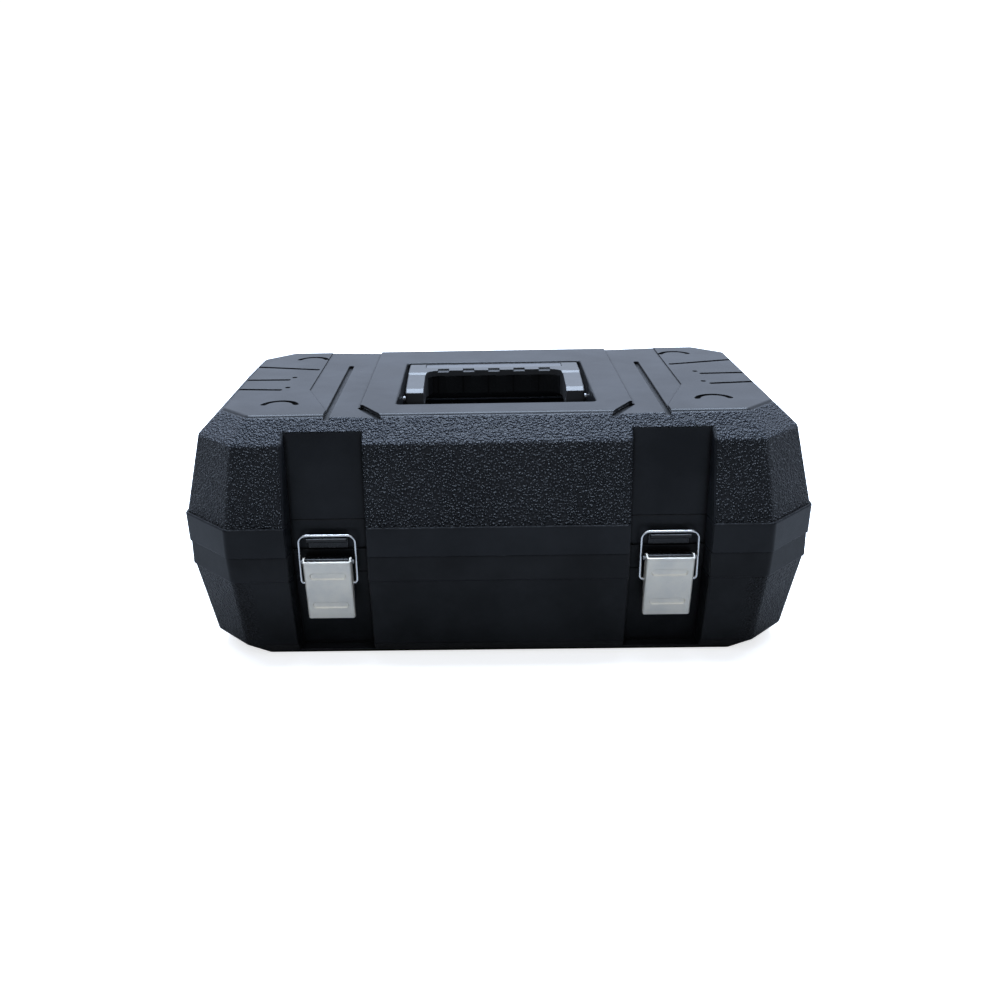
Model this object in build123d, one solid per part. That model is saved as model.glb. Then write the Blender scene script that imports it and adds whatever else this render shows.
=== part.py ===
from build123d import *
import math
import os

# A moulded toolbox with a lift-out tray. Millimetres, +Z up, +Y towards the hinges.
# The origin is the middle of the flat underside, and the two latches face -Y.

# ---------------------------------------------------------------- outer form
# A level is (half length, half depth, 45 degree corner cut, height).
BASE_FOOT = (202.0, 106.0, 32.0, 0.0)
BASE_BEVEL_TOP = (212.0, 116.5, 28.0, 12.0)
BASE_WALL_TOP = (222.6, 127.2, 35.6, 67.5)
BASE_RIM_LOW = (224.0, 128.5, 37.0, 67.5)
BASE_RIM_TOP = (223.2, 127.6, 34.8, 86.3)
LID_RIM_LOW = (224.4, 128.7, 36.0, 86.7)
LID_RIM_TOP = (225.0, 129.5, 37.0, 108.5)
LID_WALL_LOW = (223.4, 127.9, 36.0, 108.5)
LID_SHOULDER = (211.0, 115.5, 30.0, 164.5)
LID_TOP = (193.0, 98.0, 22.0, 181.0)

WALL = 3.2            # horizontal thickness of the shells
FLOOR = 3.0           # thickness of the base floor and of the lid's top
CORNER = 6.0          # rounding of the upright corners
TOP_ROUND = 2.5       # rounding of the lid's top edge
SHOULDER_ROUND = 4.0
RIM_ROUND = 1.2
FOOT_ROUND = 3.0
ROOM = 40.0           # how far a cutter runs past the surface that it opens
OVERLAP = 1.0         # how far a form runs past the level where it has to end

# ------------------------------------------------- recesses behind the latches
RECESS_X = 119.0
SIDES = (("left", -1), ("right", 1))
RECESS_HALF = 26.5    # half width at the recess floor
RECESS_DRAFT = 0.09   # how much each side wall opens out per millimetre of depth
LID_RECESS_Y = (111.2, 107.6)      # depth of the recess floor at the parting line and at the top
BASE_RECESS_Y = (113.0, 101.0)     # the same at the parting line and at the bevel
RECESS_SILL = 5.0     # the base recess stops this far above the ground
MOUTH_ROUND = 1.6

# ------------------------------------------------------------ relief on the lid
CHANNEL_DEPTH = 1.4   # at the long groove
CHANNEL_TILT = 1.6    # the channel floor rises outward from the pad, in degrees
PAD_HALF = 96.0
PAD_CORNER = (-77.0, -103.0)       # Y where the pad's corner cut starts and ends
PAD_FRONT_HALF = 81.0
CHANNEL_OUTER = 139.0
CHANNEL_BEND = (-30.0, -93.0)      # Y where its outer edge turns in, and meets the long groove
GROOVE_WIDTH = 4.2
GROOVE_DEPTH = 2.2
LONG_GROOVE = ((117.0, 50.0), (117.0, -112.0))
CORNER_GROOVE = ((95.5, -77.0), (80.0, -103.0))
SIDE_GROOVES = ((143.0, 35.0, 14.0), (161.0, 2.0, 2.0), (162.0, -29.0, 6.0))  # inner end X, Y, angle
ARC_GROOVES = (
    ((142.6, -70.5), (154.2, -61.5), (165.8, -70.5)),
    ((140.6, 72.5), (152.0, 80.5), (163.2, 72.5)),
)
DOTS = ((157.0, 9.6), (157.0, -22.0))
DOT_RADIUS = 2.0
SIDE_GROOVE_DROP = 4.0             # how far a side groove runs below the shoulder

# ------------------------------------------------------------- handle and pocket
POCKET_X = (71.0, 69.4)            # half length at the mouth and at the floor
POCKET_FRONT = (-75.0, -68.0)      # front wall at the mouth and at the floor
POCKET_BACK = (53.0, 52.0)
POCKET_FLOOR = 151.0
POCKET_CORNER = 4.0
POCKET_ROUND = 1.5
HANDLE_HALF = 68.3
HANDLE_INNER = 54.5
PIVOT_Y = -11.0
PIVOT_Z = 167.5
PIVOT_EYE = 8.0       # radius of the rounded leg end
BAR_FRONT = 25.0
BAR_BACK = 49.4
BAR_TOP = 181.0
BAR_BOTTOM = 162.0
GRIP_PITCH = 20.2
GRIP_RIBS = 5
INSERT_HALF = 55.0
INSERT_DEPTH = 1.0
INSERT_GAP = 0.5      # width of the groove round the insert
INSERT_Y = (34.2, 46.0)
HANDLE_PIN_RADIUS = 2.5
HANDLE_PIN_X = 70.5   # middle of each handle pin
PIN_BOSS = 5.5        # half length of a handle pin and of the boss round it
BAR_ROUND = 3.0
LEG_ROUND = 1.4       # rounding along the outer upper edges of the handle
WINDOW_CORNER = 11.0  # inner corners of the handle
LEG_SIDE = (          # side view of a leg's top, Y and Z, from the bar to its rounded end
    (BAR_FRONT, BAR_TOP), (19.5, BAR_TOP), (17.0, 179.7), (-14.5, 176.6), (-18.6, 174.2),
)
GRIP_BACK = 46.0
GRIP_TOP = 176.5
GRIP_SIDE = (         # side view of the soft grip's room, Y and Z
    (20.0, 157.0), (GRIP_BACK, 157.0), (GRIP_BACK, 170.5), (29.0, GRIP_TOP), (20.0, GRIP_TOP),
)
LOBE_RADIUS = 26.0    # bow of each finger lobe on the grip's face
LOBE_RISE = 1.6       # how far a lobe stands out past the valleys
GRIP_GROOVE = 0.9
NOTCH_SIZE = (9.0, 6.0, 1.4)
PIN_PLAY = 0.06       # radial play of every pin that turns
PIN_SNUG = 0.02       # radial play of every pin in the body that holds it

# -------------------------------------------------------------------- hinges
HINGE_X = 119.0
HINGE_Y = 135.2
HINGE_Z = 86.5
KNUCKLE_RADIUS = 5.0
KNUCKLE_GAP = 0.5
HINGE_HALF = 30.0     # half length of one hinge
LID_KNUCKLE_HALF = 14.0
HINGE_PIN_RADIUS = 2.0
WEB_ROOT = 2.0        # how far a knuckle's web reaches into the rim
WEB_EDGE = 4.0        # where a web's outer edge starts, out from the pin and along the rim

# -------------------------------------------------------------------- latches
LEVER_X = 120.0
PIVOT = (-121.0, 80.3)             # Y and Z of the lever pin
SHEET = 1.2           # thickness of the pressed steel
LEVER_HALF = 17.0
LEVER_START = -1.8    # the lever plate, measured down from the pin
LEVER_END = 44.8
LEVER_FACE = 3.6      # back of the lever plate, measured out from the pin
LEVER_BEND = 1.8      # outer rounding where the flanges are folded back
LEVER_BACK = -3.2     # deepest part of the flanges
FLANGE_SIDE = (       # side view of a flange, down from the pin and out from it
    (LEVER_START, 6.0), (46.0, 6.0), (LEVER_END, LEVER_FACE - 0.6), (30.0, 1.2),
    (21.5, -2.6), (-2.0, LEVER_BACK), (-3.4, 0.0), (-2.6, 2.6),
)
DENTS = (9.6, 34.1)   # middles of the two pressed dents, measured down from the pin
DENT_SIZE = (26.0, 5.4)
DENT_DEPTH = 0.9
DENT_SLOPE = 0.7      # width of a dent's sloping side
WIRE_RADIUS = 1.0
WIRE_REACH = 17.6     # from the lever pin to the wire's ends
WIRE_HALF = 20.0
WIRE_TOP = 99.0
WIRE_BEND = 5.5
WIRE_FOOT_BEND = 2.6
BARREL_RADIUS = 3.0
LATCH_PIN_RADIUS = 1.5
LATCH_PIN_HALF = 18.6
HOOK_GAP = 0.6        # free play under the closed wire
KEEPER_HALF = 14.0
KEEPER_LOW = 87.4
KEEPER_ROLL = 1.6
KEEPER_RIVET_Z = 92.3
KEEPER_PACKING = 0.4  # the leaning recess floor leaves this much behind the keeper
PLATE_HALF = 15.3
PLATE_END = 34.0
PLATE_TOP = -1.0      # where the plate leaves the recess floor, measured down from the pin
BARREL_NECK = ((0.6, 0.0), (-1.6, -1.0), (-2.9, -1.0))   # from the plate's face up to the barrel
LATCH_RIVET_U = 26.0  # rivets of the latch plate, measured down from the pin
RIVET_RISE = 0.9
RIVET_RADIUS = 1.6
RIVET_HEAD = 3.2
RIVET_SPREAD = 8.0

# ----------------------------------------------------------------------- tray
TRAY_TOP = (206.0, 101.0, 27.0, 84.0)
TRAY_LOW = (202.0, 97.0, 24.0, 42.0)
TRAY_WALL = 2.4
TRAY_FLOOR = 2.4
TRAY_LEDGE_TOP = 41.7
LEDGE_INNER = 190.0
LEDGE_SIZE = (40.0, 30.0, 10.0)
LEDGE_Y = (-50.0, 50.0)
BIN_ROUND = 3.0
END_BIN = (104.0, 203.0)
ROW_BIN = (12.0, 98.0)
SPINE_WEB = 3.0
SPINE_BAR_LOW = 70.0
SPINE_GRIP = 50.0
SPINE_WINDOW = (48.0, 68.0)


def outline(level, shrink=0.0):
    """The eight-sided plan at one level, with rounded corners."""
    x, y, cut, z = level
    x -= shrink
    y -= shrink
    cut -= shrink * (2 - math.sqrt(2))
    half = [(x, y - cut), (x - cut, y), (cut - x, y), (-x, y - cut)]
    points = half + [(-px, -py) for px, py in half]
    face = make_face(Polyline(*points, close=True))
    return Pos(0, 0, z) * fillet(face.vertices(), CORNER)


def stack(*levels, shrink=0.0):
    """A closed form that runs straight from each level to the next."""
    return loft([outline(level, shrink) for level in levels], ruled=True)


def at_height(low, high, z):
    """The level between two others at height z."""
    share = (z - low[3]) / (high[3] - low[3])
    return tuple(a + share * (b - a) for a, b in zip(low[:3], high[:3])) + (z,)


def loop_at(body, z):
    """The level edges of a body at height z."""
    return [e for e in body.edges() if abs(e.center().Z - z) < 0.05 and e.bounding_box().size.Z < 0.05]


def lathe_x(radius, half, x, y, z):
    """A round bar along X."""
    return Pos(x, y, z) * (Rot(0, 90, 0) * Cylinder(radius, 2 * half))


def recess(x, floors, heights, grow=0.0):
    """The drafted space behind one latch. Its floor leans from the first height to the second."""
    sections = []
    for floor, z in zip(floors, heights):
        back = -(floor - grow)
        mouth = -(floor + ROOM)
        half = RECESS_HALF + grow
        open_half = half + RECESS_DRAFT * (back - mouth)
        corners = [(x - half, back), (x - open_half, mouth), (x + open_half, mouth), (x + half, back)]
        sections.append(Pos(0, 0, z) * make_face(Polyline(*corners, close=True)))
    return loft(sections, ruled=True)


def lid_recess(x, grow=0.0):
    return recess(x, LID_RECESS_Y, (LID_RIM_LOW[3] - OVERLAP, LID_TOP[3] + OVERLAP), grow)


def base_recess_floor(z):
    """Depth of the base recess floor at height z."""
    top, low = BASE_RECESS_Y
    share = (z - BASE_BEVEL_TOP[3]) / (BASE_RIM_TOP[3] - BASE_BEVEL_TOP[3])
    return low + share * (top - low)


def base_recess(x, grow=0.0):
    heights = (RECESS_SILL - grow, BASE_RIM_TOP[3] + OVERLAP)
    return recess(x, [base_recess_floor(z) for z in heights], heights, grow)


def round_mouth(body, x):
    """Softens the outer upright edges of one recess."""
    reach = RECESS_HALF + RECESS_DRAFT * ROOM
    edges = []
    for edge in body.edges():
        middle = edge.center()
        off = abs(middle.X - x)
        rises = edge.bounding_box().size.Z > 2
        if RECESS_HALF + 0.3 < off < reach and middle.Y < 0 and rises:
            edges.append(edge)
    return fillet(edges, MOUTH_ROUND)


# -------------------------------------------------------------------- shells
def slot(start, end, width, depth, top):
    """A straight round-ended groove cut down from the height top."""
    (x0, y0), (x1, y1) = start, end
    length = math.hypot(x1 - x0, y1 - y0)
    angle = math.degrees(math.atan2(y1 - y0, x1 - x0))
    plan = Pos((x0 + x1) / 2, (y0 + y1) / 2) * (Rot(0, 0, angle) * SlotCenterToCenter(length, width))
    return Pos(0, 0, top - depth) * extrude(plan, depth + ROOM)


def side_groove(x, y, angle):
    """A groove that runs outward over the top and down the end chamfer."""
    run = (LID_SHOULDER[0] - LID_TOP[0]) / (LID_TOP[3] - LID_SHOULDER[3])
    floor = LID_TOP[3] - GROOVE_DEPTH
    bend = LID_TOP[0] - x - GROOVE_DEPTH / 2
    drop = LID_TOP[3] - LID_SHOULDER[3] + SIDE_GROOVE_DROP
    low = bend + run * drop
    out = low + 2 * SIDE_GROOVE_DROP
    points = [(0, floor), (bend, floor), (low, floor - drop), (out, floor)]
    points += [(out, floor + ROOM), (0, floor + ROOM)]
    blade = extrude(Plane.XZ * make_face(Polyline(*points, close=True)), GROOVE_WIDTH / 2, both=True)
    tip = Pos(0, 0, floor) * extrude(Circle(GROOVE_WIDTH / 2), ROOM)
    return Pos(x, y, 0) * (Rot(0, 0, angle) * (blade + tip))


def channel(side):
    """The shallow strip beside the raised middle of the lid, deepest along the pad."""
    far = ROOM + LID_TOP[1]
    pad = [(PAD_HALF, far), (PAD_HALF, PAD_CORNER[0])]
    pad += [(PAD_FRONT_HALF, PAD_CORNER[1]), (PAD_FRONT_HALF, -far)]
    groove_x = LONG_GROOVE[0][0]
    outer = [(groove_x, -far), (groove_x, CHANNEL_BEND[1])]
    outer += [(CHANNEL_OUTER, CHANNEL_BEND[0]), (CHANNEL_OUTER, far)]
    points = [(side * (x - groove_x), y) for x, y in pad + outer]
    cutter = extrude(make_face(Polyline(*points, close=True)), ROOM)
    return Pos(side * groove_x, 0, LID_TOP[3] - CHANNEL_DEPTH) * (Rot(0, -side * CHANNEL_TILT, 0) * cutter)


def arc_groove(side, points):
    """A bowed groove."""
    arc = ThreePointArc(*[(side * px, py) for px, py in points])
    plan = SlotArc(arc, GROOVE_WIDTH)
    return Pos(0, 0, LID_TOP[3] - GROOVE_DEPTH) * extrude(plan, ROOM)


def relief():
    """Everything that is sunk into the lid's top."""
    cuts = []
    low = LID_TOP[3] - CHANNEL_DEPTH
    for side in (-1, 1):
        cuts.append(channel(side))
        for groove in (LONG_GROOVE, CORNER_GROOVE):
            start, end = [(side * x, y) for x, y in groove]
            cuts.append(slot(start, end, GROOVE_WIDTH, GROOVE_DEPTH, low))
        cuts += [arc_groove(side, points) for points in ARC_GROOVES]
        for x, y in DOTS:
            cuts.append(Pos(side * x, y, LID_TOP[3] - GROOVE_DEPTH) * extrude(Circle(DOT_RADIUS), ROOM))
    for x, y, angle in SIDE_GROOVES:
        groove = side_groove(x, y, angle)
        cuts.append(groove)
        cuts.append(mirror(groove, Plane.YZ))
    return cuts


def pocket(grow=0.0):
    """The space that the folded handle lies in."""
    sections = []
    levels = zip(POCKET_X, POCKET_FRONT, POCKET_BACK, (LID_TOP[3], POCKET_FLOOR - grow))
    for half, front, back, z in levels:
        size = (2 * (half + grow), back - front + 2 * grow)
        plan = RectangleRounded(*size, POCKET_CORNER + grow)
        sections.append(Pos(0, (front + back) / 2, z) * plan)
    return loft(sections, ruled=True)


def pocket_mouth(body):
    """The edge loop round the handle pocket at the lid's top."""
    found = []
    for edge in loop_at(body, LID_TOP[3]):
        middle = edge.center()
        if abs(middle.X) < POCKET_X[0] + 0.1 and POCKET_FRONT[0] - 0.1 < middle.Y < POCKET_BACK[0] + 0.1:
            found.append(edge)
    return found


def lid_knuckle(x):
    """The lid's barrel of one hinge, with the web that carries it."""
    barrel = lathe_x(KNUCKLE_RADIUS, LID_KNUCKLE_HALF, x, HINGE_Y, HINGE_Z)
    root = LID_RIM_LOW[1] - WEB_ROOT
    points = [(root, LID_RIM_LOW[3]), (HINGE_Y, HINGE_Z), (HINGE_Y + KNUCKLE_RADIUS, HINGE_Z)]
    points += [(HINGE_Y + WEB_EDGE, HINGE_Z + WEB_EDGE), (root, LID_RIM_TOP[3] - WEB_EDGE)]
    web = extrude(Plane.YZ * make_face(Polyline(*points, close=True)), LID_KNUCKLE_HALF, both=True)
    clear = lathe_x(HINGE_PIN_RADIUS + PIN_PLAY, HINGE_HALF, x, HINGE_Y, HINGE_Z)
    return barrel + Pos(x, 0, 0) * web - clear


def base_knuckles(x):
    """The base's two barrels of one hinge."""
    half = (HINGE_HALF - LID_KNUCKLE_HALF - KNUCKLE_GAP) / 2
    root = BASE_RIM_TOP[1] - WEB_ROOT
    points = [(root, BASE_RIM_TOP[3]), (HINGE_Y, HINGE_Z), (HINGE_Y + KNUCKLE_RADIUS, HINGE_Z)]
    points += [(HINGE_Y + WEB_EDGE, HINGE_Z - WEB_EDGE), (root, BASE_RIM_LOW[3] + WEB_EDGE)]
    web = extrude(Plane.YZ * make_face(Polyline(*points, close=True)), half, both=True)
    knuckles = Part()
    for side in (-1, 1):
        middle = x + side * (HINGE_HALF - half)
        knuckles += lathe_x(KNUCKLE_RADIUS, half, middle, HINGE_Y, HINGE_Z) + Pos(middle, 0, 0) * web
    return knuckles - lathe_x(HINGE_PIN_RADIUS + PIN_SNUG, HINGE_HALF + 1, x, HINGE_Y, HINGE_Z)


def keeper_rivet_spots(side):
    """X of each keeper rivet; they share one height."""
    return [side * LEVER_X - RIVET_SPREAD, side * LEVER_X + RIVET_SPREAD]


def lid_rim():
    """The band round the lid's open edge."""
    band = stack(LID_RIM_LOW, LID_RIM_TOP)
    for _, side in SIDES:
        band = round_mouth(band - lid_recess(side * RECESS_X), side * RECESS_X)
    return fillet(loop_at(band, LID_RIM_TOP[3]), RIM_ROUND)


def lid_crown():
    """The lid above its rim, with the relief and the handle pocket in its top."""
    crown = stack(LID_WALL_LOW, LID_SHOULDER, LID_TOP)
    crown = fillet(loop_at(crown, LID_TOP[3]), TOP_ROUND)
    crown = fillet(loop_at(crown, LID_SHOULDER[3]), SHOULDER_ROUND)
    for _, side in SIDES:
        crown = round_mouth(crown - lid_recess(side * RECESS_X), side * RECESS_X)
    crown -= pocket()
    crown = fillet(pocket_mouth(crown), POCKET_ROUND)
    for cut in relief():
        crown -= cut
    return crown


def lid_room():
    """The hollow of the lid, kept one wall away from the recesses and the pocket."""
    under = LID_RIM_LOW[:3] + (LID_RIM_LOW[3] - OVERLAP,)
    ceiling = at_height(LID_SHOULDER, LID_TOP, LID_TOP[3] - FLOOR - CHANNEL_DEPTH)
    room = stack(under, LID_RIM_LOW, LID_RIM_TOP, shrink=WALL)
    room += stack(LID_WALL_LOW, LID_SHOULDER, ceiling, shrink=WALL)
    room -= pocket(FLOOR)
    for _, side in SIDES:
        room -= lid_recess(side * RECESS_X, WALL)
        room -= lathe_x(HANDLE_PIN_RADIUS + WALL, PIN_BOSS, side * (POCKET_X[0] + PIN_BOSS), PIVOT_Y, PIVOT_Z)
    return room


def lid_shell():
    """The lid, with its latch recesses, handle pocket and hinge barrels."""
    body = lid_rim() + lid_crown() - lid_room()
    for _, side in SIDES:
        body += lid_knuckle(side * HINGE_X)
        pin_hole = lathe_x(HANDLE_PIN_RADIUS + PIN_SNUG, PIN_BOSS, side * HANDLE_PIN_X, PIVOT_Y, PIVOT_Z)
        body -= pin_hole
        for x in keeper_rivet_spots(side):
            body -= Pos(x, -LID_RECESS_Y[0], KEEPER_RIVET_Z) * lathe_y(RIVET_RADIUS + PIN_SNUG, 3 * WALL)
    return body


def base_shell():
    """The base, with its latch recesses, tray ledges and hinge barrels."""
    rim = stack(BASE_RIM_LOW, BASE_RIM_TOP)
    tub = stack(BASE_FOOT, BASE_BEVEL_TOP, BASE_WALL_TOP)
    tub = fillet(loop_at(tub, BASE_BEVEL_TOP[3]), FOOT_ROUND)
    tub = fillet(loop_at(tub, BASE_FOOT[3]), TOP_ROUND)
    for _, side in SIDES:
        x = side * RECESS_X
        rim = round_mouth(rim - base_recess(x), x)
        tub = round_mouth(tub - base_recess(x), x)
    rim = fillet(loop_at(rim, BASE_RIM_LOW[3]), RIM_ROUND)
    body = rim + tub - base_room()
    for _, side in SIDES:
        body += base_knuckles(side * HINGE_X)
        for hole in latch_rivets(side, RIVET_RADIUS + PIN_SNUG, bare=True):
            body -= hole
    return body


def base_room():
    """The hollow of the base, kept one wall away from the recesses and clear of the ledges."""
    above = BASE_RIM_TOP[:3] + (BASE_RIM_TOP[3] + OVERLAP,)
    floor = at_height(BASE_FOOT, BASE_BEVEL_TOP, FLOOR)
    room = stack(floor, BASE_BEVEL_TOP, BASE_WALL_TOP, BASE_RIM_TOP, above, shrink=WALL)
    for _, side in SIDES:
        room -= base_recess(side * RECESS_X, WALL)
        for y in LEDGE_Y:
            shelf = Box(LEDGE_SIZE[0], LEDGE_SIZE[1], LEDGE_SIZE[2])
            x = side * (LEDGE_INNER + LEDGE_SIZE[0] / 2)
            room -= Pos(x, y, TRAY_LEDGE_TOP - LEDGE_SIZE[2] / 2) * shelf
    return room


# ------------------------------------------------------------------- handle
def leg_profile():
    """Side view of one handle leg and the bar, in Y and Z."""
    points = [(PIVOT_Y, PIVOT_Z - PIVOT_EYE), (BAR_FRONT, BAR_BOTTOM), (BAR_BACK, BAR_BOTTOM)]
    points += [(BAR_BACK, BAR_TOP), *LEG_SIDE, (PIVOT_Y - PIVOT_EYE, PIVOT_Z)]
    return make_face(Polyline(*points, close=True)) + Pos(PIVOT_Y, PIVOT_Z) * Circle(PIVOT_EYE)


def handle_blank():
    """The whole handle before its grip and insert are let in."""
    solid = extrude(Plane.YZ * leg_profile(), HANDLE_HALF, both=True)
    back = [e for e in solid.edges().filter_by(Axis.X) if e.center().Y > BAR_BACK - 0.1]
    solid = fillet(back, BAR_ROUND)
    sides = [e for e in solid.edges() if abs(abs(e.center().X) - HANDLE_HALF) < 0.01]
    solid = fillet([e for e in sides if e.center().Z > PIVOT_Z + PIVOT_EYE / 2], LEG_ROUND)
    depth = BAR_FRONT + PIVOT_EYE - PIVOT_Y + ROOM
    window = RectangleRounded(2 * HANDLE_INNER, depth, WINDOW_CORNER)
    middle = BAR_FRONT - depth / 2
    return solid - Pos(0, middle, BAR_BOTTOM - ROOM) * extrude(window, 3 * ROOM)


def grip_zone():
    """The part of the bar that is soft grip: its lower front, between the legs."""
    return extrude(Plane.YZ * make_face(Polyline(*GRIP_SIDE, close=True)), HANDLE_INNER, both=True)


def rib_spots():
    """X of the middle of each notch along the bar."""
    first = -(GRIP_RIBS - 1) / 2
    return [(first + i) * GRIP_PITCH for i in range(GRIP_RIBS)]


def grip_valley(x):
    """The hollow between two finger lobes, with the fine groove beside it."""
    middle = (BAR_BOTTOM + GRIP_TOP) / 2
    groove = Pos(x, BAR_FRONT, middle) * Box(GRIP_GROOVE, 2 * LOBE_RISE, ROOM)
    bowl = Pos(x, BAR_FRONT - LOBE_RADIUS + LOBE_RISE / 2, middle) * Cylinder(LOBE_RADIUS, ROOM)
    return groove + (bowl & Pos(x, BAR_FRONT, middle) * Box(GRIP_PITCH * 0.6, 2 * LOBE_RISE, ROOM))


def handle_grip():
    """The ribbed soft grip."""
    grip = handle_blank() & grip_zone()
    for x in rib_spots():
        grip -= grip_valley(x - NOTCH_SIZE[0] / 2)
    return grip


def insert_plan(gap=0.0):
    """Plan of the insert strip, drawn back by a gap on every side."""
    low, high = INSERT_Y
    size = (2 * (INSERT_HALF - gap), high - low - 2 * gap)
    return Pos(0, (low + high) / 2) * RectangleRounded(*size, 1 - gap)


def handle_insert():
    """The plain strip let into the top of the bar."""
    return Pos(0, 0, BAR_TOP - INSERT_DEPTH) * extrude(insert_plan(INSERT_GAP), INSERT_DEPTH - 0.2)


def handle_frame():
    """The stiff bail of the handle."""
    frame = handle_blank() - grip_zone()
    frame -= Pos(0, 0, BAR_TOP - INSERT_DEPTH) * extrude(insert_plan(), ROOM)
    width, depth, drop = NOTCH_SIZE
    for x in rib_spots():
        frame -= Pos(x, BAR_FRONT + depth / 2 - 1, BAR_TOP) * Box(width, depth + 2, 2 * drop)
    frame -= lathe_x(HANDLE_PIN_RADIUS + PIN_PLAY, HANDLE_HALF + 1, 0, PIVOT_Y, PIVOT_Z)
    return frame


def handle_pin(side):
    """One steel pin that the handle turns on."""
    return lathe_x(HANDLE_PIN_RADIUS, PIN_BOSS, side * HANDLE_PIN_X, PIVOT_Y, PIVOT_Z)


# ------------------------------------------------------------------- hinges
def hinge_pin(side):
    """The steel pin of one hinge, held by the base."""
    return lathe_x(HINGE_PIN_RADIUS, HINGE_HALF, side * HINGE_X, HINGE_Y, HINGE_Z)


# ------------------------------------------------------------------- latches
def latch_lean():
    """How far the base recess floor leans from upright, in degrees."""
    rise = BASE_RIM_TOP[3] - BASE_BEVEL_TOP[3]
    return math.degrees(math.atan2(BASE_RECESS_Y[0] - BASE_RECESS_Y[1], rise))


def latch_plane(side):
    """A plane through the lever pin: x runs down along the recess floor, y straight out of it."""
    lean = math.radians(latch_lean())
    origin = (side * LEVER_X, PIVOT[0], PIVOT[1])
    return Plane(origin=origin, x_dir=(0, math.sin(lean), -math.cos(lean)), z_dir=(-1, 0, 0))


def recess_depth():
    """Distance of the base recess floor from the lever pin, square to the floor."""
    gap = -PIVOT[0] - base_recess_floor(PIVOT[1])
    return gap * math.cos(math.radians(latch_lean()))


def pressed(side, plan, half, shift=0.0):
    """A profile drawn on the latch plane, extruded to both sides and moved along X."""
    solid = extrude(latch_plane(side) * plan, half, both=True)
    return Pos(shift, 0, 0) * solid


def latch_rivets(side, radius, bare=False):
    """The two rivets of a latch plate, or only their shanks."""
    floor = -recess_depth()
    plane = latch_plane(side)
    found = []
    for off in (-RIVET_SPREAD, RIVET_SPREAD):
        shank = Pos(LATCH_RIVET_U, 0, off) * lathe_y(radius, 3 * WALL)
        if bare:
            found.append(plane.location * (Pos(0, floor, 0) * shank))
            continue
        length = SHEET + WALL * math.cos(math.radians(latch_lean()))
        found.append(plane.location * (Pos(LATCH_RIVET_U, floor + SHEET - length / 2, off) * rivet(length)))
    return found


def rivet(length):
    """A rivet along Y, centred on its grip, with a low head at each end."""
    body = lathe_y(RIVET_RADIUS, length / 2)
    for end in (-1, 1):
        head = Pos(0, end * (length / 2 + RIVET_RISE / 2), 0) * lathe_y(RIVET_HEAD, RIVET_RISE / 2)
        body += head
    return body


def lathe_y(radius, half):
    """A round bar along Y, centred on the origin."""
    return Rot(90, 0, 0) * Cylinder(radius, 2 * half)


def latch_plate(side):
    """The plate riveted to the base, with the rolled barrel that holds the lever pin."""
    floor = -recess_depth()
    face = floor + SHEET
    points = [(PLATE_TOP, floor), (PLATE_END, floor), (PLATE_END, face), (BARREL_NECK[0][0], face)]
    sheet = make_face(Polyline(*points, *BARREL_NECK[1:], close=True))
    plan = sheet + Circle(BARREL_RADIUS) - Circle(LATCH_PIN_RADIUS + PIN_SNUG)
    plate = pressed(side, plan, PLATE_HALF)
    for hole in latch_rivets(side, RIVET_RADIUS + PIN_SNUG, bare=True):
        plate -= hole
    return plate


def dent(u, v):
    """A pressed dent across the lever, sunk from the height v towards the recess."""
    length, width = DENT_SIZE
    wide = SlotOverall(length, width)
    narrow = SlotOverall(length - 2 * DENT_SLOPE, width - 2 * DENT_SLOPE)
    form = loft([wide, Pos(0, 0, -DENT_DEPTH) * narrow], ruled=True)
    return Plane(origin=(u, v, 0), x_dir=(0, 0, 1), z_dir=(0, 1, 0)).location * form


def lever_section(half, front, bend):
    """A bar that fills the lever's section, rounded along its two front edges."""
    length = LEVER_END - LEVER_START + 2 * ROOM
    depth = front - LEVER_BACK + SHEET
    bar = Box(length, depth, 2 * half)
    bar = fillet([e for e in bar.edges().filter_by(Axis.X) if e.center().Y > 0], bend)
    return Pos(0, front - depth / 2, 0) * bar


def latch_lever(side):
    """The pressed lever: a front plate with two dents and a flange folded back down each side."""
    front = LEVER_FACE + SHEET
    outer = lever_section(LEVER_HALF, front, LEVER_BEND)
    inner = lever_section(LEVER_HALF - SHEET, LEVER_FACE, LEVER_BEND - SHEET)
    for u in DENTS:
        inner -= dent(u, LEVER_FACE)
    side_view = make_face(Polyline(*FLANGE_SIDE, close=True))
    lever = (outer - inner) & extrude(side_view, ROOM, both=True)
    for u in DENTS:
        lever -= dent(u, front)
    for radius, u in ((LATCH_PIN_RADIUS, 0.0), (WIRE_RADIUS, WIRE_REACH)):
        lever -= Pos(u, 0, 0) * Cylinder(radius + PIN_PLAY, 2 * ROOM)
    return latch_plane(side).location * lever


def latch_pin(side):
    """The pin that the lever turns on, held by the plate's barrel."""
    return lathe_x(LATCH_PIN_RADIUS, LATCH_PIN_HALF, side * LEVER_X, PIVOT[0], PIVOT[1])


def wire_foot():
    """Y and Z of the axis that the wire turns on."""
    lean = math.radians(latch_lean())
    return (PIVOT[0] + WIRE_REACH * math.sin(lean), PIVOT[1] - WIRE_REACH * math.cos(lean))


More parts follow.
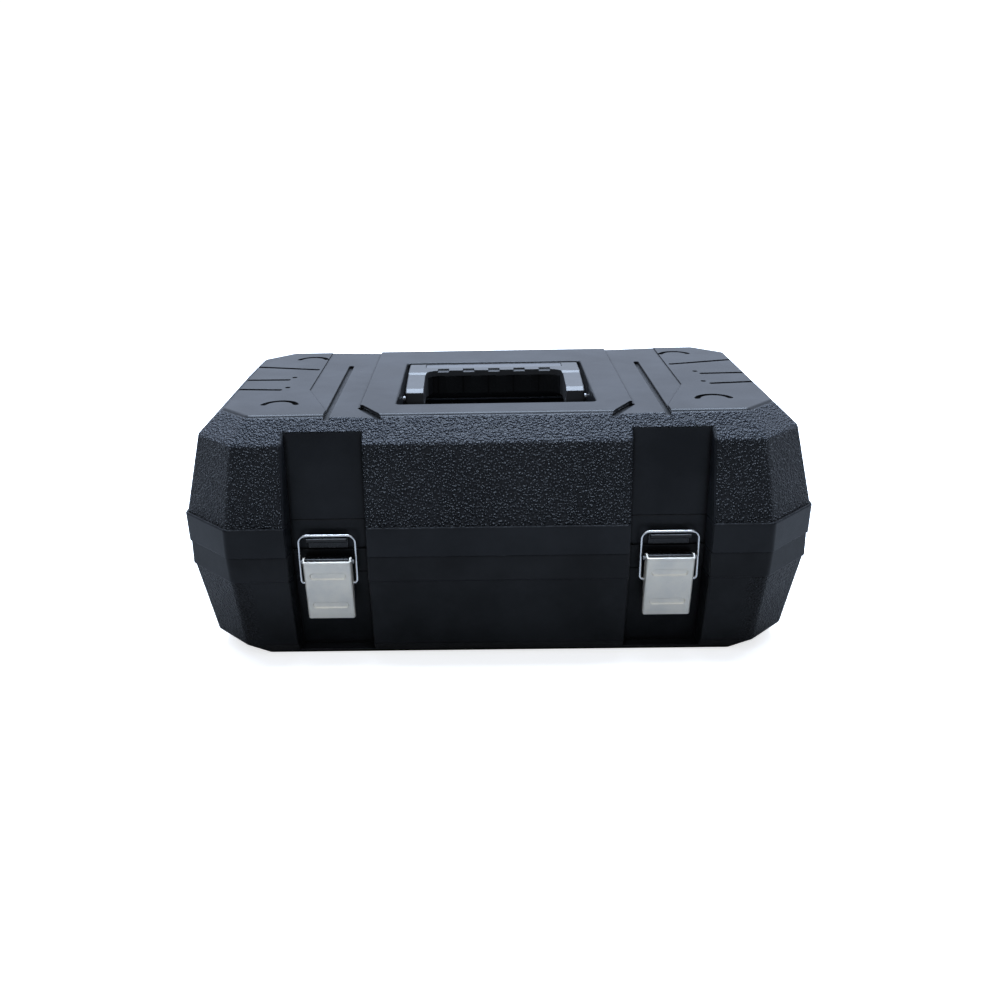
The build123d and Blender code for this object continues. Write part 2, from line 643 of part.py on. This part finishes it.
def latch_bail(side):
    """The wire loop that pulls the keeper down."""
    y, z = wire_foot()
    tip = LEVER_HALF - SHEET - WIRE_RADIUS
    path = FilletPolyline(
        (-tip, z), (-WIRE_HALF, z), (-WIRE_HALF, WIRE_TOP), (WIRE_HALF, WIRE_TOP), (WIRE_HALF, z), (tip, z),
        radius=[WIRE_FOOT_BEND, WIRE_BEND, WIRE_BEND, WIRE_FOOT_BEND],
    )
    path = Pos(side * LEVER_X, y, 0) * (Plane.XZ * path)
    start = Plane(origin=path @ 0, z_dir=path % 0)
    return sweep(start * Circle(WIRE_RADIUS), path=path)


def keeper(side):
    """The plate on the lid with the rolled shelf that the wire pulls on."""
    back = -LID_RECESS_Y[0]
    top = WIRE_TOP - WIRE_RADIUS - HOOK_GAP
    roll_y = wire_foot()[0] - 1.0
    plate = [(back, KEEPER_LOW), (back, top), (roll_y, top), (roll_y, top - SHEET)]
    plate += [(back - SHEET, top - SHEET), (back - SHEET, KEEPER_LOW)]
    profile = make_face(Polyline(*plate, close=True)) + Pos(roll_y, top - KEEPER_ROLL) * Circle(KEEPER_ROLL)
    body = Pos(side * LEVER_X, 0, 0) * extrude(Plane.YZ * profile, KEEPER_HALF, both=True)
    for x in keeper_rivet_spots(side):
        body -= Pos(x, back, KEEPER_RIVET_Z) * lathe_y(RIVET_RADIUS + PIN_SNUG, 3 * WALL)
    return body


def keeper_rivets(side):
    """The two rivets of a keeper."""
    length = SHEET + WALL + KEEPER_PACKING
    middle = -LID_RECESS_Y[0] - SHEET + length / 2
    return [Pos(x, middle, KEEPER_RIVET_Z) * rivet(length) for x in keeper_rivet_spots(side)]


# ----------------------------------------------------------------------- tray
def tray_bins():
    """Each bin as (low X, high X, low Y, high Y) at its mouth."""
    end_low, end_high = END_BIN
    half = ROW_BIN[1]
    reach = END_BIN[0] - TRAY_WALL
    return [
        (-end_high, -end_low, -half, half),
        (end_low, end_high, -half, half),
        (-reach, -TRAY_WALL / 2, ROW_BIN[0], half),
        (TRAY_WALL / 2, reach, ROW_BIN[0], half),
        (-reach, reach, -half, -ROW_BIN[0]),
    ]


def tray_whole():
    """The tray with its bins, and a carrying bar along its middle."""
    body = stack(TRAY_LOW, TRAY_TOP)
    under = TRAY_LOW[3] + TRAY_FLOOR
    above = TRAY_TOP[:3] + (TRAY_TOP[3] + OVERLAP,)
    inner = stack(at_height(TRAY_LOW, TRAY_TOP, under), above, shrink=TRAY_WALL)
    for x0, x1, y0, y1 in tray_bins():
        plan = RectangleRounded(x1 - x0, y1 - y0, BIN_ROUND)
        block = Pos((x0 + x1) / 2, (y0 + y1) / 2, under) * extrude(plan, ROOM + ROOM)
        body -= block & inner
    return body - spine_gap(under)


def spine_room():
    """The space of the carrying bar, above the tray's floor and between its end bins."""
    under = TRAY_LOW[3] + TRAY_FLOOR
    height = TRAY_TOP[3] - under
    room = Box(2 * (END_BIN[0] - TRAY_WALL), 2 * ROW_BIN[0], height + OVERLAP)
    return Pos(0, 0, under + (height + OVERLAP) / 2) * room


def tray_body():
    """The lift-out tray, without its carrying bar."""
    return tray_whole() - spine_room()


def tray_bar():
    """The carrying bar, with the web and the finger hole under it."""
    return tray_whole() & spine_room()


def spine_gap(under):
    """What is cut from the middle rib so that a hand can close round its bar."""
    reach = END_BIN[0] - TRAY_WALL
    side_wall = (ROW_BIN[0] + SPINE_WEB) / 2
    cut = Part()
    for way in (-1, 1):
        low = Box(2 * reach, ROW_BIN[0] - SPINE_WEB + OVERLAP, SPINE_BAR_LOW - under)
        cut += Pos(0, way * side_wall, (SPINE_BAR_LOW + under) / 2) * low
    window = Box(2 * SPINE_GRIP, 4 * ROW_BIN[0], SPINE_WINDOW[1] - SPINE_WINDOW[0])
    cut += Pos(0, 0, sum(SPINE_WINDOW) / 2) * window
    return cut


# ---------------------------------------------------------------------- parts
def all_parts():
    """Every node name with its solid, or with a list of separate solids."""
    parts = {
        "base_shell": base_shell(),
        "lid_shell": lid_shell(),
        "tray_body": tray_body(),
        "tray_bar": tray_bar(),
        "handle_frame": handle_frame(),
        "handle_grip": handle_grip(),
        "handle_insert": handle_insert(),
    }
    for name, side in SIDES:
        parts[name + "_hinge_pin"] = hinge_pin(side)
        parts[name + "_handle_pin"] = handle_pin(side)
        parts[name + "_latch_plate"] = latch_plate(side)
        parts[name + "_latch_pin"] = latch_pin(side)
        parts[name + "_latch_rivets"] = latch_rivets(side, RIVET_RADIUS)
        parts[name + "_latch_lever"] = latch_lever(side)
        parts[name + "_latch_bail"] = latch_bail(side)
        parts[name + "_keeper"] = keeper(side)
        parts[name + "_keeper_rivets"] = keeper_rivets(side)
    return parts


def main():
    os.makedirs("parts", exist_ok=True)
    for node, shape in all_parts().items():
        if isinstance(shape, list):
            shape = Compound(children=shape)
        export_step(shape, f"parts/{node}.step")


if __name__ == "__main__":
    main()
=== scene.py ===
import math

import bpy
from mathutils import Matrix, Vector


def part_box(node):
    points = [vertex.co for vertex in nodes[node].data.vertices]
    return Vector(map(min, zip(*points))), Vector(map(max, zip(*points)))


# The looks of a moulded toolbox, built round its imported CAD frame. Metres, +Z up, latches at -Y.
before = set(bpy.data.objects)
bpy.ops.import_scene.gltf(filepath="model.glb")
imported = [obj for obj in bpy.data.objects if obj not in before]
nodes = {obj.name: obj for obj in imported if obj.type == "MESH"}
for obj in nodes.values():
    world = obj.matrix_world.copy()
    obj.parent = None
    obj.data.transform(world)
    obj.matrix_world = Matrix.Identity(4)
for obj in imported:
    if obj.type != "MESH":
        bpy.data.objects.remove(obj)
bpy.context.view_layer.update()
MM = 0.001

# Places that the materials are worked out from
LID_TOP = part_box("lid_shell")[1].z
keeper_low, keeper_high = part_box("right_keeper")
LATCH_X = (keeper_low.x + keeper_high.x) / 2
RECESS_HALF = 28.2 * MM      # half width of a latch recess at its mouth
RECESS_BACK = -90.0 * MM
RECESS_TOP = 171.0 * MM      # where a recess floor meets the lid's chamfer
TOP_ROUND = 2.5 * MM
LID_RIM = 108.5 * MM         # top of the lid's rim band
BASE_RIM = 67.5 * MM         # foot of the base's rim band
POCKET = (71.5 * MM, -75.8 * MM, 53.8 * MM)   # half length, front and back of the handle pocket
BASE_MIDDLE = 176.0 * MM     # half length of the plain stretch between the base's pebbled ends


# ------------------------------------------------------------------ node helper
class Nodes:
    """A node tree. Its methods add nodes and return their output sockets."""

    def __init__(self, owner, place):
        owner.use_nodes = True
        self.tree = owner.node_tree
        self.tree.nodes.clear()
        self.spot = self.node("TexCoord", out=place)

    def node(self, kind, inputs=None, out=0, **settings):
        made = self.tree.nodes.new("ShaderNode" + kind)
        for key, value in settings.items():
            setattr(made, key, value)
        for key, value in (inputs or {}).items():
            if isinstance(value, bpy.types.NodeSocket):
                self.tree.links.new(value, made.inputs[key])
            else:
                made.inputs[key].default_value = value
        return made.outputs[out]

    def math(self, operation, *values):
        return self.node("Math", dict(enumerate(values)), operation=operation)

    def vector(self, operation, *values):
        return self.node("VectorMath", dict(enumerate(values)), operation=operation)

    def axis(self, letter, vector=None):
        return self.node("SeparateXYZ", {0: vector or self.spot}, out=letter)

    def step(self, value, low, high, first=0.0, last=1.0):
        """A smooth step from first to last as value goes from low to high."""
        inputs = {"Value": value, "From Min": low, "From Max": high, "To Min": first, "To Max": last}
        return self.node("MapRange", inputs, interpolation_type="SMOOTHSTEP")

    def close(self, skin, kind="OutputMaterial"):
        """Links a finished shader to the tree's output."""
        out = self.tree.nodes.new("ShaderNode" + kind)
        self.tree.links.new(skin, out.inputs["Surface"])


class Shader(Nodes):
    """One node material."""

    def __init__(self, name):
        self.material = bpy.data.materials.new(name)
        super().__init__(self.material, "Object")

    def upness(self):
        """How far the surface looks upwards, from -1 to 1."""
        return self.axis("Z", self.node("TexCoord", out="Normal"))

    def above(self, value, limit, soft=0.25 * MM):
        return self.step(value, limit - soft, limit + soft)

    def below(self, value, limit, soft=0.25 * MM):
        return self.step(value, limit - soft, limit + soft, 1.0, 0.0)

    def all_of(self, *masks):
        total = masks[0]
        for mask in masks[1:]:
            total = self.math("MULTIPLY", total, mask)
        return total

    def any_of(self, *masks):
        total = masks[0]
        for mask in masks[1:]:
            total = self.math("MAXIMUM", total, mask)
        return total

    def stretched(self, x, y, z):
        return self.vector("MULTIPLY", self.spot, (x, y, z))

    def noise(self, scale, detail=3.0, rough=0.55, spot=None):
        inputs = {"Vector": spot or self.spot, "Scale": scale, "Detail": detail, "Roughness": rough}
        return self.node("TexNoise", inputs)

    def warped(self, scale, reach):
        """The object's coordinates, pushed about by noise."""
        push = self.node("TexNoise", {"Vector": self.spot, "Scale": scale, "Detail": 1.0}, out="Color")
        centred = self.vector("SUBTRACT", push, (0.5, 0.5, 0.5))
        return self.vector("ADD", self.spot, self.vector("MULTIPLY", centred, (reach, reach, reach)))

    def cells(self, scale, spot, smooth=0.5):
        inputs = {"Vector": spot, "Scale": scale, "Smoothness": smooth}
        return self.node("TexVoronoi", inputs, out="Distance", feature="SMOOTH_F1")

    def mix(self, share, first, second):
        return self.node("Mix", {"Factor": share, 6: first, 7: second}, out=2, data_type="RGBA")

    def bump(self, height, reach, after=None, strength=1.0):
        inputs = {"Height": height, "Distance": reach, "Strength": strength}
        if after is not None:
            inputs["Normal"] = after
        return self.node("Bump", inputs)

    def rounded(self, radius):
        """The surface normal with the mesh's sharp corners rounded off."""
        return self.node("Bevel", {"Radius": radius}, samples=4)

    def cavity(self, reach):
        """1 down in grooves and inner corners, 0 on open faces."""
        open_sky = self.node("AmbientOcclusion", {"Distance": reach}, out="AO", samples=6)
        return self.step(open_sky, 0.92, 0.55)

    def corners(self, radius):
        """1 along the sharp corners of the mesh, 0 on its faces."""
        normals = {0: self.rounded(radius), 1: self.node("NewGeometry", out="Normal")}
        alike = self.node("VectorMath", normals, out="Value", operation="DOT_PRODUCT")
        return self.step(alike, 0.99, 0.86)

    def finish(self, colour, rough, normal, **constants):
        """Closes the material. The constants go straight onto the shader's own sockets."""
        inputs = {"Base Color": colour, "Roughness": rough, "Normal": normal}
        inputs.update({key.replace("_", " "): value for key, value in constants.items()})
        self.close(self.node("BsdfPrincipled", inputs))
        return self.material


def grey(value, warmth=0.0):
    """A near-neutral colour; warmth below 0 leans it to blue."""
    return (value * (1 + warmth), value, value * (1 - 2 * warmth), 1.0)


# ------------------------------------------------------------------ materials
BLUE = -0.05          # the lean of the dark plastics towards blue


def pebble_height(s):
    """Moulded leather-like grain: low irregular domes about 2 mm across, with creases between."""
    domes = s.step(s.cells(600.0, s.warped(500.0, 1.2 * MM), 0.25), 0.7, 0.1)
    patchy = s.step(s.noise(350.0, 2.0), 0.34, 0.6, 0.45, 1.0)
    fine = s.math("MULTIPLY", s.noise(1900.0, 2.0), 0.2)
    return s.math("MULTIPLY_ADD", domes, patchy, fine)


def latch_recess_mask(s):
    """1 in the two smooth latch recesses."""
    off = s.math("ABSOLUTE", s.math("SUBTRACT", s.math("ABSOLUTE", s.axis("X")), LATCH_X))
    front = s.below(s.axis("Y"), RECESS_BACK)
    low = s.below(s.axis("Z"), RECESS_TOP, 0.6 * MM)
    return s.all_of(s.below(off, RECESS_HALF, 0.6 * MM), front, low)


def shell_material(name, colour, wall_painted_shade_colour, smooth_colour, smooth, grain, rough, smooth_rough):
    """Moulded plastic: pebbled, except where smooth (a function of the shader) says that it is plain.

    Upright walls take a darker colour than the faces that look upwards: painted shade."""
    s = Shader(name)
    plain = smooth(s)
    pebbled = s.math("SUBTRACT", 1.0, plain)
    height = pebble_height(s)
    ripple = s.noise(70.0, 2.0)
    satin = s.noise(1300.0, 3.0, 0.6)
    tone = s.step(s.noise(24.0, 4.0), 0.3, 0.7)
    worn = s.corners(0.9 * MM)
    # painted shade: the creases between the pebble domes are darkened towards near black
    crease_painted_shade = s.step(height, 0.25, 0.7, 0.55, 1.0)
    # painted shade: upright walls are mixed towards the darker wall colour
    upright = s.below(s.upness(), 0.35, 0.15)
    base = s.mix(plain, s.mix(upright, colour, wall_painted_shade_colour), smooth_colour)
    varied = s.mix(s.math("MULTIPLY", tone, 0.35), base, s.mix(0.5, base, grey(0.05, -0.05)))
    shaded = s.mix(s.math("MULTIPLY", pebbled, s.math("SUBTRACT", 1.0, crease_painted_shade)), varied, grey(0.004))
    rubbed = s.step(s.noise(130.0, 3.0), 0.45, 0.75, 0.0, 0.5)
    scuffed = s.mix(s.math("MULTIPLY", worn, rubbed), shaded, grey(0.09, -0.04))
    # painted shade: grooves, steps and inner corners are darkened by ambient occlusion
    sunk = s.cavity(4.0 * MM)
    cavity_painted_shade = s.mix(sunk, scuffed, grey(0.002))
    level = s.math("MULTIPLY_ADD", plain, smooth_rough - rough, rough - 0.06)
    dull = s.math("MULTIPLY_ADD", s.noise(45.0, 3.0), 0.12, level)
    gloss = s.math("MAXIMUM", s.math("MULTIPLY_ADD", worn, -0.05, dull), s.math("MULTIPLY", sunk, 0.95))
    soft = s.rounded(0.7 * MM)
    waved = s.bump(ripple, 0.25 * MM, soft, 0.35)
    fine = s.bump(satin, 0.09 * MM, waved, 0.6)
    rough_normal = s.bump(s.math("MULTIPLY", height, pebbled), grain, fine, 0.9)
    return s.finish(cavity_painted_shade, gloss, rough_normal, Specular_IOR_Level=0.2)


def lid_smooth(s):
    """The lid is plain on its top, in its grooves and pocket, on its rim band and in its recesses."""
    z = s.axis("Z")
    top = s.above(z, LID_TOP - TOP_ROUND * 0.75, 0.5 * MM)
    level = s.above(s.upness(), 0.9, 0.03)
    half, front, back = POCKET
    y = s.axis("Y")
    inside = s.all_of(s.below(s.math("ABSOLUTE", s.axis("X")), half), s.above(y, front), s.below(y, back))
    band = s.below(z, LID_RIM, 0.4 * MM)
    return s.any_of(top, level, inside, band, latch_recess_mask(s))


def base_smooth(s):
    """The base is plain along its front and back and on its rim band, and pebbled at its ends."""
    band = s.above(s.axis("Z"), BASE_RIM, 0.4 * MM)
    middle = s.below(s.math("ABSOLUTE", s.axis("X")), BASE_MIDDLE, 6 * MM)
    return s.any_of(band, middle)


def moulded_material(name, colour, rough, corner=0.6 * MM, fine=0.03 * MM):
    """Plain moulded plastic with a fine satin texture and faintly rubbed corners."""
    s = Shader(name)
    tone = s.step(s.noise(60.0, 4.0), 0.3, 0.7, 0.0, 0.3)
    base = s.mix(tone, colour, grey(colour[1] * 1.5, -0.03))
    worn = s.math("MULTIPLY", s.corners(corner), s.step(s.noise(220.0, 3.0), 0.4, 0.7, 0.1, 0.6))
    shade = s.mix(worn, base, grey(colour[1] * 1.8 + 0.02, -0.04))
    dull = s.math("MULTIPLY_ADD", s.noise(90.0, 3.0), 0.18, rough - 0.09)
    normal = s.bump(s.noise(2400.0, 2.0), fine, s.rounded(corner), 0.6)
    return s.finish(shade, dull, normal, Specular_IOR_Level=0.5)


def rubber_material(name):
    """Soft black grip: very dull, with a fine stipple."""
    s = Shader(name)
    dust = s.step(s.noise(160.0, 5.0, 0.65), 0.5, 0.85, 0.0, 0.25)
    shade = s.mix(dust, grey(0.003, BLUE), grey(0.012, BLUE))
    dull = s.math("MULTIPLY_ADD", s.noise(300.0, 3.0), 0.15, 0.62)
    stipple = s.step(s.cells(1300.0, s.spot, 0.3), 0.6, 0.2)
    normal = s.bump(stipple, 0.08 * MM, s.rounded(0.8 * MM), 0.7)
    return s.finish(shade, dull, normal, Specular_IOR_Level=0.2)


def steel_material(name, colour, rough, along=(1.0, 14.0, 1.0), scratch=0.012 * MM):
    """Plated steel: rolled streaks, small scratches, and a cloudy tone."""
    s = Shader(name)
    streak = s.noise(420.0, 4.0, 0.6, s.stretched(*along))
    cloud = s.step(s.noise(55.0, 4.0), 0.3, 0.75)
    spots = s.step(s.noise(900.0, 2.0), 0.68, 0.8, 0.0, 0.35)
    toned = s.mix(s.math("MULTIPLY", cloud, 0.4), colour, grey(colour[1] * 0.72, 0.02))
    shade = s.mix(spots, toned, grey(colour[1] * 0.45, 0.02))
    dull = s.math("MULTIPLY_ADD", streak, 0.22, rough - 0.11)
    normal = s.bump(streak, scratch, s.rounded(0.45 * MM), 0.7)
    return s.finish(shade, dull, normal, Metallic=1.0)


def painted_material(name):
    """Gloss black paint over pressed steel, worn to the metal here and there at its corners."""
    s = Shader(name)
    chips = s.math("MULTIPLY", s.corners(0.35 * MM), s.step(s.noise(700.0, 4.0), 0.5, 0.62))
    shade = s.mix(chips, grey(0.004, BLUE), grey(0.3))
    peel = s.noise(500.0, 2.0)
    dull = s.math("MULTIPLY_ADD", s.noise(150.0, 3.0), 0.12, 0.2)
    normal = s.bump(peel, 0.03 * MM, s.rounded(0.4 * MM), 0.6)
    return s.finish(shade, dull, normal, Specular_IOR_Level=0.35, Coat_Weight=0.25, Coat_Roughness=0.12)


materials = {
    "lid": shell_material(
        "lid_moulding", grey(0.036, -0.12), grey(0.013, -0.1), grey(0.007, -0.1),
        lid_smooth, 1.9 * MM, 0.28, 0.3),
    "base": shell_material(
        "base_moulding", grey(0.007, BLUE), grey(0.007, BLUE), grey(0.005, BLUE),
        base_smooth, 1.2 * MM, 0.36, 0.4),
    "tray": moulded_material("tray_moulding", grey(0.02, BLUE), 0.5),
    "frame": moulded_material("handle_moulding", grey(0.03, 0.0), 0.38, 0.7 * MM),
    "insert": moulded_material("insert_strip", grey(0.045, BLUE), 0.28, 0.2 * MM, 0.015 * MM),
    "grip": rubber_material("grip_rubber"),
    "steel": steel_material("pressed_steel", grey(0.92, 0.06), 0.58),
    "pins": steel_material("pin_steel", grey(0.3, 0.0), 0.5, (14.0, 1.0, 1.0)),
    "chrome": steel_material("wire_chrome", grey(0.82, 0.0), 0.18, (1.0, 1.0, 1.0), 0.004 * MM),
    "keeper": painted_material("keeper_paint"),
}
FINISHES = {
    "lid_shell": "lid",
    "base_shell": "base",
    "tray_body": "tray",
    "tray_bar": "tray",
    "handle_frame": "frame",
    "handle_insert": "insert",
    "handle_grip": "grip",
    "latch_lever": "steel",
    "latch_plate": "keeper",
    "latch_bail": "chrome",
    "latch_pin": "pins",
    "hinge_pin": "pins",
    "handle_pin": "pins",
    "latch_rivets": "pins",
    "keeper": "keeper",
    "keeper_rivets": "keeper",
}


def dress(node):
    """Gives one CAD node the finish of its kind of part."""
    kind = node.removeprefix("left_").removeprefix("right_")
    piece = nodes[node]
    piece.data.materials.clear()
    piece.data.materials.append(materials[FINISHES[kind]])


for node in nodes:
    dress(node)


# ------------------------------------------------------------------ stage
FLOOR_HALF = 8.0                 # half the floor's width
FLOOR_DROP = 0.2 * MM            # how far the floor lies below the object
SKY = (0.8, 0.91, 1.12, 1.0)     # the colour of the room's light
SKY_LEVEL = 1.55                 # how bright the room is above and behind the object
FRONT_LEVEL = 0.07               # how bright it is in front
EYE = Vector((-9.7, -758.6, 367.0)) * MM
YAW, PITCH, ROLL = (math.radians(angle) for angle in (-1.1, 21.79, -1.18))
FOCAL_LENGTH = 35.86             # mm, on a sensor 36 mm wide
SHIFT = (0.034, 0.018)           # the object stands off the middle of the photograph


def floor():
    """A wide pale floor: near white to the eye, and a darker grey to the object's reflections."""
    half = FLOOR_HALF
    mesh = bpy.data.meshes.new("floor")
    corners = [(-half, -half, 0), (half, -half, 0), (half, half, 0), (-half, half, 0)]
    mesh.from_pydata(corners, [], [(0, 1, 2, 3)])
    ground = bpy.data.objects.new("floor", mesh)
    bpy.context.scene.collection.objects.link(ground)
    ground.location.z = -FLOOR_DROP
    s = Shader("floor_paper")
    cloud = s.step(s.noise(3.0, 3.0), 0.3, 0.7)
    pale = {"Base Color": s.mix(cloud, grey(0.86), grey(0.9)), "Roughness": 0.9}
    pale.update({"Emission Color": grey(1.0), "Emission Strength": 0.7})
    dim = {"Base Color": s.mix(cloud, grey(0.23), grey(0.26)), "Roughness": 0.9}
    seen = s.node("LightPath", out="Is Camera Ray")
    both = {0: seen, 1: s.node("BsdfPrincipled", dim), 2: s.node("BsdfPrincipled", pale)}
    s.close(s.node("MixShader", both))
    mesh.materials.append(s.material)


def softbox(name, spot, aim, size, power, colour=(1.0, 1.0, 1.0)):
    """A rectangular area light."""
    light = bpy.data.lights.new(name, "AREA")
    light.shape = "RECTANGLE"
    light.size, light.size_y = size
    light.energy = power
    light.color = colour
    holder = bpy.data.objects.new(name, light)
    bpy.context.scene.collection.objects.link(holder)
    holder.location = spot
    holder.rotation_euler = (Vector(aim) - Vector(spot)).to_track_quat("-Z", "Y").to_euler()


def studio():
    """A pale room to the eye, brighter above and behind than in front for the object."""
    world = bpy.data.worlds.new("studio")
    bpy.context.scene.world = world
    room = Nodes(world, "Generated")
    above = room.step(room.axis("Z"), -0.15, 0.5)
    behind = room.step(room.axis("Y"), -0.15, 0.7, 0.12, 1.0)
    level = room.math("MULTIPLY_ADD", room.math("MULTIPLY", above, behind), SKY_LEVEL, FRONT_LEVEL)
    lit = room.node("Background", {"Color": SKY, "Strength": level})
    seen = room.node("Background", {"Color": grey(1.0), "Strength": 1.05})
    by_eye = room.node("LightPath", out="Is Camera Ray")
    room.close(room.node("MixShader", {0: by_eye, 1: lit, 2: seen}), "OutputWorld")


def camera():
    """The photograph's viewpoint: in front, a little left of the middle, looking down at the box."""
    lens = bpy.data.cameras.new("camera")
    lens.sensor_width = 36.0
    lens.lens = FOCAL_LENGTH
    lens.shift_x, lens.shift_y = SHIFT
    eye = bpy.data.objects.new("camera", lens)
    bpy.context.scene.collection.objects.link(eye)
    reach = math.cos(PITCH)
    ahead = Vector((math.sin(YAW) * reach, math.cos(YAW) * reach, -math.sin(PITCH)))
    level = Vector((math.cos(YAW), -math.sin(YAW), 0.0))
    upright = level.cross(ahead)
    right = math.cos(ROLL) * level + math.sin(ROLL) * upright
    up = -math.sin(ROLL) * level + math.cos(ROLL) * upright
    turn = Matrix((right, up, -ahead)).transposed()
    eye.matrix_world = Matrix.Translation(EYE) @ turn.to_4x4()
    bpy.context.scene.camera = eye


floor()
studio()
softbox("overhead", (0.0, 0.35, 1.5), (0.0, 0.0, 0.1), (1.6, 1.1), 75.0, (0.72, 0.86, 1.08))
softbox("front_top", (-0.1, -1.3, 1.2), (0.0, 0.0, 0.1), (2.0, 1.1), 6.0, (0.9, 0.95, 1.0))
camera()
bpy.context.scene.view_settings.view_transform = "Standard"
